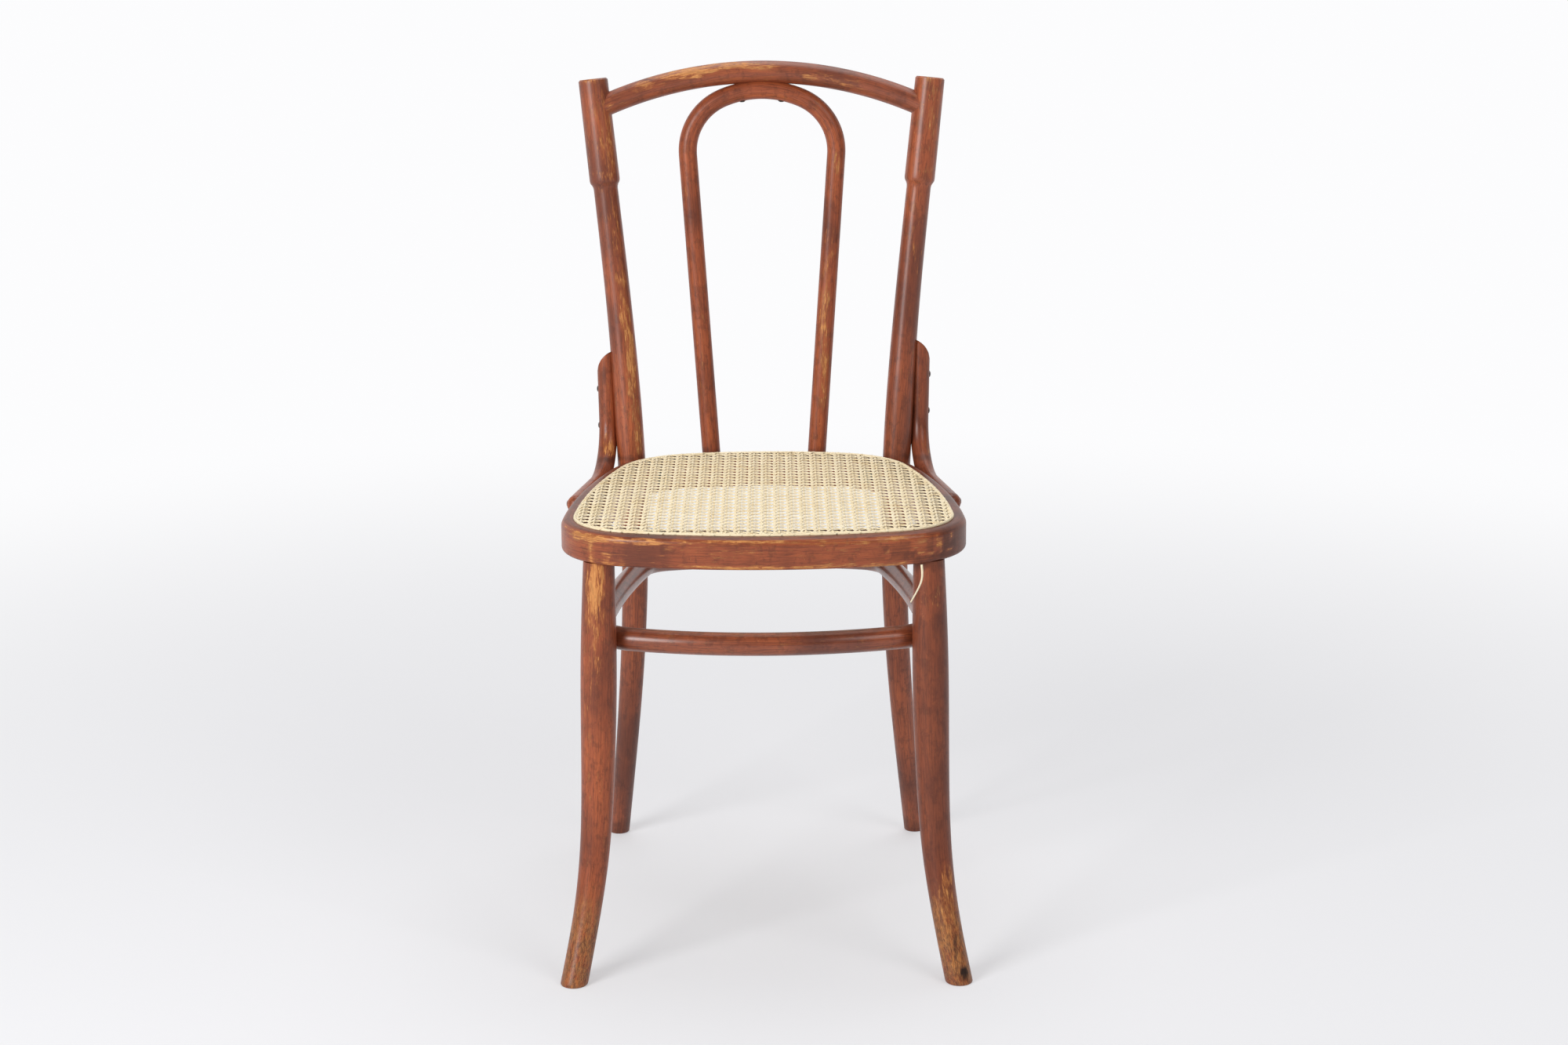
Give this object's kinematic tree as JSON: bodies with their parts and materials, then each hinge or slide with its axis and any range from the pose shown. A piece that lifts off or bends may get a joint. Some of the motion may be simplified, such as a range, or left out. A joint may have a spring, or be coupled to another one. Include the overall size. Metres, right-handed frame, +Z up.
{
  "type": "bentwood cafe chair",
  "caption": "Bentwood cafe chair: bent ring seat with a woven cane panel, sabre legs tied by a hoop, turned post heads, arched rail with an inner loop, and side brackets.",
  "frame": {"origin": "on the floor under the middle of the chair's bounding box", "axes": "+Z up, -Y to the front of the seat, +X to the right as seen from the front"},
  "size_m": [0.416, 0.4888, 0.8828],
  "materials": {
    "stained_beech": "stained and varnished, worn",
    "cane": "bare split cane",
    "screw_steel": "dark, aged"
  },
  "bodies": {
    "root": {"seat_ring": "stained_beech", "front_leg_right": "stained_beech", "front_leg_left": "stained_beech", "back_post_right": "stained_beech", "back_post_left": "stained_beech", "top_rail": "stained_beech", "back_loop": "stained_beech", "leg_hoop": "stained_beech", "side_bracket_right": "stained_beech", "side_bracket_left": "stained_beech", "cane_panel": "cane", "cane_binding": "cane", "loose_cane_end": "cane", "bracket_post_screws": "screw_steel", "bracket_seat_screws": "screw_steel", "loop_rail_screws": "screw_steel", "loop_seat_screws": "screw_steel", "hoop_leg_screws": "screw_steel", "seat_bolts": "screw_steel", "seat_bolt_washers": "screw_steel", "seat_bolt_nuts": "screw_steel"}
  },
  "joints": []
}
